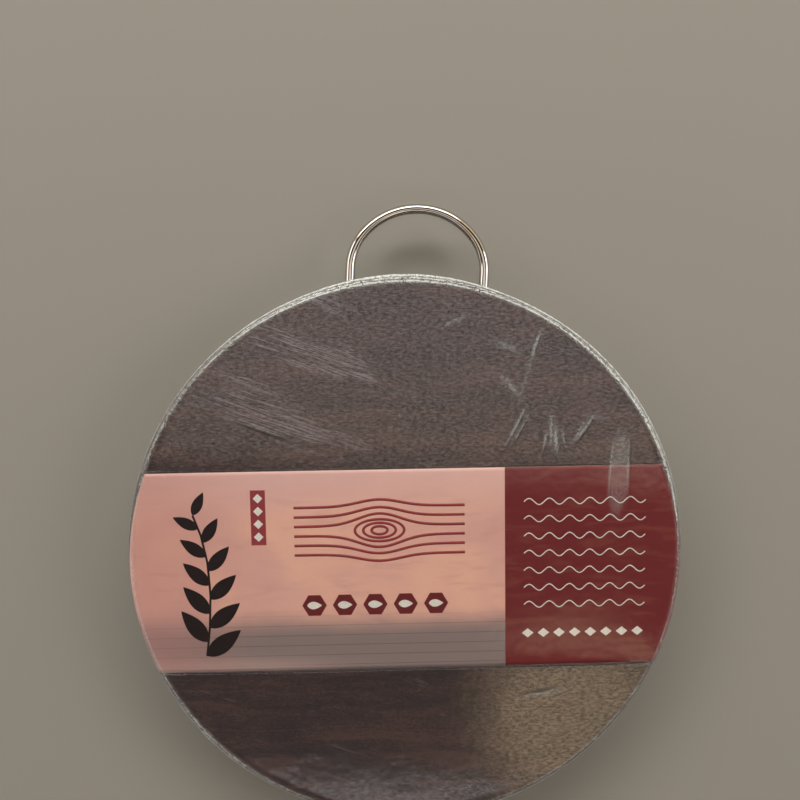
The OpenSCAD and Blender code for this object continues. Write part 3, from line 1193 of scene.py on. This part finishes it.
            # The film bridges from the card's edge down to the wood
            bridge = CARD_T + 4 * wave
            over_card = smooth_step((card_depth(card, along, around) + bridge) / bridge)
        on_rim = smooth_step((along - (EDGE_AT - 3 * MM)) / (6 * MM))
        lift = film.gap + (film.wall_gap - film.gap) * on_rim
        top = CARD_T + 0.03 * MM + wave + film.gap
        lift = np.maximum(lift, lift * (1 - over_card) + top * over_card) + lips + height
        # The two sheets rise together into the welded fin
        off = off_angle(around, 90)
        fin = smooth_step((math.degrees(film.seam_sweep) / 2 - off) / 3)
        fin *= 1 - smooth_step(near_leg * 3 - 1)
        push = slack * smooth_step((along - EDGE_AT + 1 * MM) / (7 * MM))
        lift += film.fin * fin * smooth_step(1 - shifted / FIN_REACH)
        along = along - 0.1 * MM * fin * smooth_step(1 - shifted / (0.3 * MM))
        gather = smooth_step((along - EDGE_AT + GATHER_LEAD) / GATHER_RISE)
        gather *= 1 - 0.7 * smooth_step((along - WALL_AT) / (5 * MM))
        zones = 0.4 + lobe(around, 48, 50) + 0.9 * lobe(around, 110, 40) + 0.5 * lobe(around, 225, 30)
        gather = gather * np.clip(zones, 0, 1.2) + 0.4 * near_leg
        gather *= smooth_step(shifted / (1.2 * MM)) * 0.9 + 0.1
        # Painted highlight lines where the face ends and where the rim begins, strongest towards the
        # handle, where the key lamp stands; the gathers add real whitening
        fold = 0.3 * gather
        for middle, half_width, least in RIM_HIGHLIGHT_LINES:
            off = (along - EDGE_AT) / MM - middle
            highlight_strength = least + (1 - least) * lobe(around, 85, 130)
            fold = fold + highlight_strength * np.exp(-((off / half_width) ** 2))
        points = skin(along, around, lift, side)
        points[:, :2] += flat_xy(push, around)
        return points, {
            "gather": gather, "fold": fold, "crease": np.clip(height / CREASE_FULL, 0, 1),
            "bare": 1 - over_card + 0 * along
        }

    def slack(self, around):
        """How far the film stands off the rim, round the disc"""
        return sum(amount * MM * lobe(around, *where) for amount, *where in SLACK)

    def creases(self, x, y):
        """Height of the creases and the blister on the face"""
        height = 0 * x
        for middle_x, middle_y, heading, reach, half_width, rise in CREASES:
            along, across = crease_axes(x, y, middle_x, middle_y, heading)
            fade = np.cos(np.clip(along / (reach * MM), -0.5, 0.5) * math.pi) ** 2
            height += rise * MM * fade * np.exp(-(across / (half_width * MM)) ** 2)
        middle_x, middle_y, heading, reach, width, rise = BLISTER
        along, across = crease_axes(x, y, middle_x, middle_y, heading)
        ratio = np.hypot(along / (reach / 2 * MM), across / (width / 2 * MM))
        return height + rise * MM * smooth_step((1 - ratio) / 0.4)


def welded_bead(add, given):
    """A crinkled bead along a line of points"""
    curve = add("GeometryNodeMeshToCurve", given["Geometry"])
    place = add("GeometryNodeInputPosition")
    wobble = add(
        NOISE, {"Vector": place, "W": given["Seed"], "Scale": 420.0, "Detail": 1.0}, **SEEDED
    ).outputs["Color"]
    wobble = add(VECTOR, wobble, (0.5, 0.5, 0.5), operation="SUBTRACT")
    wobble = add(VECTOR, wobble, given["Crinkle"], operation="SCALE")
    curve = add("GeometryNodeSetPosition", {"Geometry": curve, "Offset": wobble})
    profile = add("GeometryNodeCurvePrimitiveCircle", 6, given["Radius"])
    bead = add(
        "GeometryNodeCurveToMesh",
        {"Curve": curve, "Profile Curve": profile, "Fill Caps": True}
    )
    return add("GeometryNodeSetShadeSmooth", bead)


# Step from point to point of the welded bead, how far it lies outside the fin, and the
# room it leaves beside a leg
BEAD_STEP, BEAD_OUT, BEAD_AIR = 0.8 * MM, 0.05 * MM, 2 * MM


class CHOPBLOCK_OT_seam(bpy.types.Operator):
    """Runs the welded bead of the film's seam round the rim, broken at the legs"""

    bl_idname = "chopblock.seam"
    bl_label = "Film Seam"

    def execute(self, context):
        film = context.scene.chop_film
        bead_r = WOOD_R + film.wall_gap + film.fin + BEAD_OUT
        leg = math.pi / 2 - math.atan2(RIM_Y, LEG_X)
        clear = (ROD_R + BEAD_AIR) / WOOD_R
        half = film.seam_sweep / 2
        spans = [(leg + clear, half), (-leg + clear, leg - clear), (-half, -leg - clear)]
        points, edges = [], []
        for low, high in spans:
            angles = np.arange(low, high, BEAD_STEP / WOOD_R) + math.pi / 2
            start = len(points)
            points += np.insert(flat_xy(bead_r, angles), 2, WOOD_MID, axis=1).tolist()
            edges += [(start + i, start + i + 1) for i in range(len(angles) - 1)]
        # The bead is whitened: partly the milky weld, partly painted highlight along the rim's outline
        bead = run_tree(
            mesh_object("seam_line", points, edges=edges), welded_bead, "film_seam",
            radius=0.14 * MM, crinkle=0.4 * MM, seed=2.0,
            material=clear_film(film, "welded_film", white=0.45)
        )
        keep(clean(bead), "clear_film")
        return {"FINISHED"}


# Lamps: name, place, width and height of the panel, radiance and colour
LAMPS = (
    ("key", (-0.25, 1.5, 1.0), (2.4, 0.5), 7.0, (1.0, 0.98, 0.95)),
    ("left_fill", (-1.5, 0.5, 0.9), (1.0, 0.8), 1.6, (0.97, 0.99, 1.0)),
    ("right_fill", (1.5, 0.3, 0.9), (1.0, 0.8), 3.0, (1.0, 0.97, 0.93)),
)


class CHOPBLOCK_OT_stage(bpy.types.Operator):
    """Sets up the pale floor, the soft lamps and the camera"""

    bl_idname = "chopblock.stage"
    bl_label = "Stage"

    def execute(self, context):
        stage = context.scene.chop_stage
        half = stage.floor_size / 2
        corners = [(-half, -half, 0), (half, -half, 0), (half, half, 0), (-half, half, 0)]
        floor = mesh_object("floor", corners, [(0, 1, 2, 3)])
        floor.data.materials.append(floor_finish(stage))
        for lamp in LAMPS:
            self.lamp(*lamp)
        self.sky()
        self.camera(context.scene, stage)
        context.scene.view_settings.view_transform = "Standard"
        return {"FINISHED"}

    def lamp(self, name, place, size, radiance, tint):
        """A soft panel that faces the block"""
        data = bpy.data.lights.new(name, "AREA")
        data.shape = "RECTANGLE"
        data.size, data.size_y = size
        data.energy = radiance * math.pi * size[0] * size[1]
        data.color = tint
        obj = link(name, data)
        obj.location = place
        obj.rotation_mode = "QUATERNION"
        obj.rotation_quaternion = Vector(place).to_track_quat("Z", "Y")

    def sky(self):
        """Room whose tones blend into each other: a light ceiling over the handle's side, dim
        over the near side, a warm glow low on the right, and a plain wall all round"""
        world = bpy.data.worlds.new("room")
        world.use_nodes = True
        world.node_tree.nodes.clear()
        add = partial(add_node, world.node_tree)
        direction = add("ShaderNodeTexCoord").outputs["Generated"]
        right, back, up = add(SPLIT, direction).outputs
        # Where a direction meets a level ceiling that is one unit up
        height = add("MAXIMUM", up, 0.2)
        right, back = (add("DIVIDE", axis, height) for axis in (right, back))
        glow = add(VECTOR, add(XYZ, right, back), (0.27, -0.5, 0), operation="DISTANCE")
        # Beams cross the ceiling beyond what the flat face mirrors. The round rod gathers
        # them into its dark and light lines
        aside = add("MULTIPLY", add("ABSOLUTE", right), 0.2)
        ahead = add("MULTIPLY_ADD", back, 0.18, 0.064)
        away = add("SMOOTH_MAX", aside, ahead, 0.02)
        cool = add(RANGE, back, -0.18, 0.04, **SMOOTH)
        ceiling = add(MIX, cool, (1.04, 0.82, 0.7, 1), (1.08, 0.95, 0.92, 1), **RGBA)
        beams = add(RAMP, away, stops=(
            (0.09, (0.04, 0.035, 0.03, 1)), (0.2, (0.04, 0.035, 0.025, 1)),
            (0.225, (1, 0.86, 0.6, 1)), (0.43, (1, 0.9, 0.72, 1)),
            (0.47, (0.07, 0.06, 0.05, 1)), (0.8, (0.12, 0.11, 0.1, 1))
        ))
        # Each tone and where it lies: products of smooth steps, each a value, where the
        # step is 0 and where it is 1
        shade = (0.02, 0.018, 0.018, 1)
        for tone, *spans in (
            (ceiling, (back, -0.21, -0.15)),
            (beams, (away, 0.077, 0.09), (back, -0.21, -0.15)),
            ((1.45, 1.33, 1.3, 1), (back, -0.565, -0.63), (back, -0.95, -0.8)),
            ((1.9, 1.45, 0.9, 1), (glow, 0.17, 0.06)),
            ((0.85, 0.82, 0.78, 1), (up, 0.34, 0.24))
        ):
            mask = 1.0
            for value, low, high in spans:
                step = add(RANGE, value, low, high, **SMOOTH)
                mask = add("MULTIPLY", step, mask)
            shade = add(MIX, mask, shade, tone, **RGBA)
        add("ShaderNodeOutputWorld", add("ShaderNodeBackground", shade, 1.0))
        bpy.context.scene.world = world

    def camera(self, scene, stage):
        """The camera of the photograph, from its place and turn"""
        data = bpy.data.cameras.new("camera")
        data.sensor_width, data.lens, data.clip_start = 36, stage.lens, 0.01
        obj = link("camera", data)
        turn = Vector(stage.eye_turn)
        spin = Matrix.Rotation(turn.length, 4, turn.normalized())
        obj.matrix_world = Matrix.Translation(stage.eye) @ spin
        scene.camera = obj


class CHOPBLOCK_PT_sidebar(bpy.types.Panel):
    """Lists the pieces and their settings"""

    bl_idname = "CHOPBLOCK_PT_sidebar"
    bl_label = "Chopping Block"
    bl_space_type = "VIEW_3D"
    bl_region_type = "UI"
    bl_category = "Chopping Block"

    def draw(self, context):
        for operator in OPERATORS:
            self.layout.operator(operator.bl_idname)
        for name in SETTINGS:
            group = getattr(context.scene, name)
            box = self.layout.box()
            for key in group.__annotations__:
                box.prop(group, key)


SETTINGS = {
    "chop_wood": WoodSettings, "chop_handle": HandleSettings, "chop_card": CardSettings,
    "chop_film": FilmSettings, "chop_stage": StageSettings,
}
OPERATORS = (
    CHOPBLOCK_OT_wood, CHOPBLOCK_OT_handle, CHOPBLOCK_OT_card, CHOPBLOCK_OT_print,
    CHOPBLOCK_OT_film, CHOPBLOCK_OT_seam, CHOPBLOCK_OT_stage,
)


def register():
    """Registers the settings, the operators and the panel"""
    for name, group in SETTINGS.items():
        bpy.utils.register_class(group)
        setattr(bpy.types.Scene, name, PointerProperty(type=group))
    for kind in (*OPERATORS, CHOPBLOCK_PT_sidebar):
        bpy.utils.register_class(kind)


def unregister():
    """Takes the panel, the operators and the settings away again"""
    for kind in (CHOPBLOCK_PT_sidebar, *reversed(OPERATORS)):
        bpy.utils.unregister_class(kind)
    for name, group in SETTINGS.items():
        delattr(bpy.types.Scene, name)
        bpy.utils.unregister_class(group)


def main():
    """Makes the block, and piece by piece"""
    register()
    bpy.ops.chopblock.wood()
    bpy.ops.chopblock.handle()
    bpy.ops.chopblock.card()
    bpy.ops.chopblock.print()
    bpy.ops.chopblock.film()
    bpy.ops.chopblock.seam()
    bpy.ops.chopblock.stage()


if __name__ == "__main__":
    main()
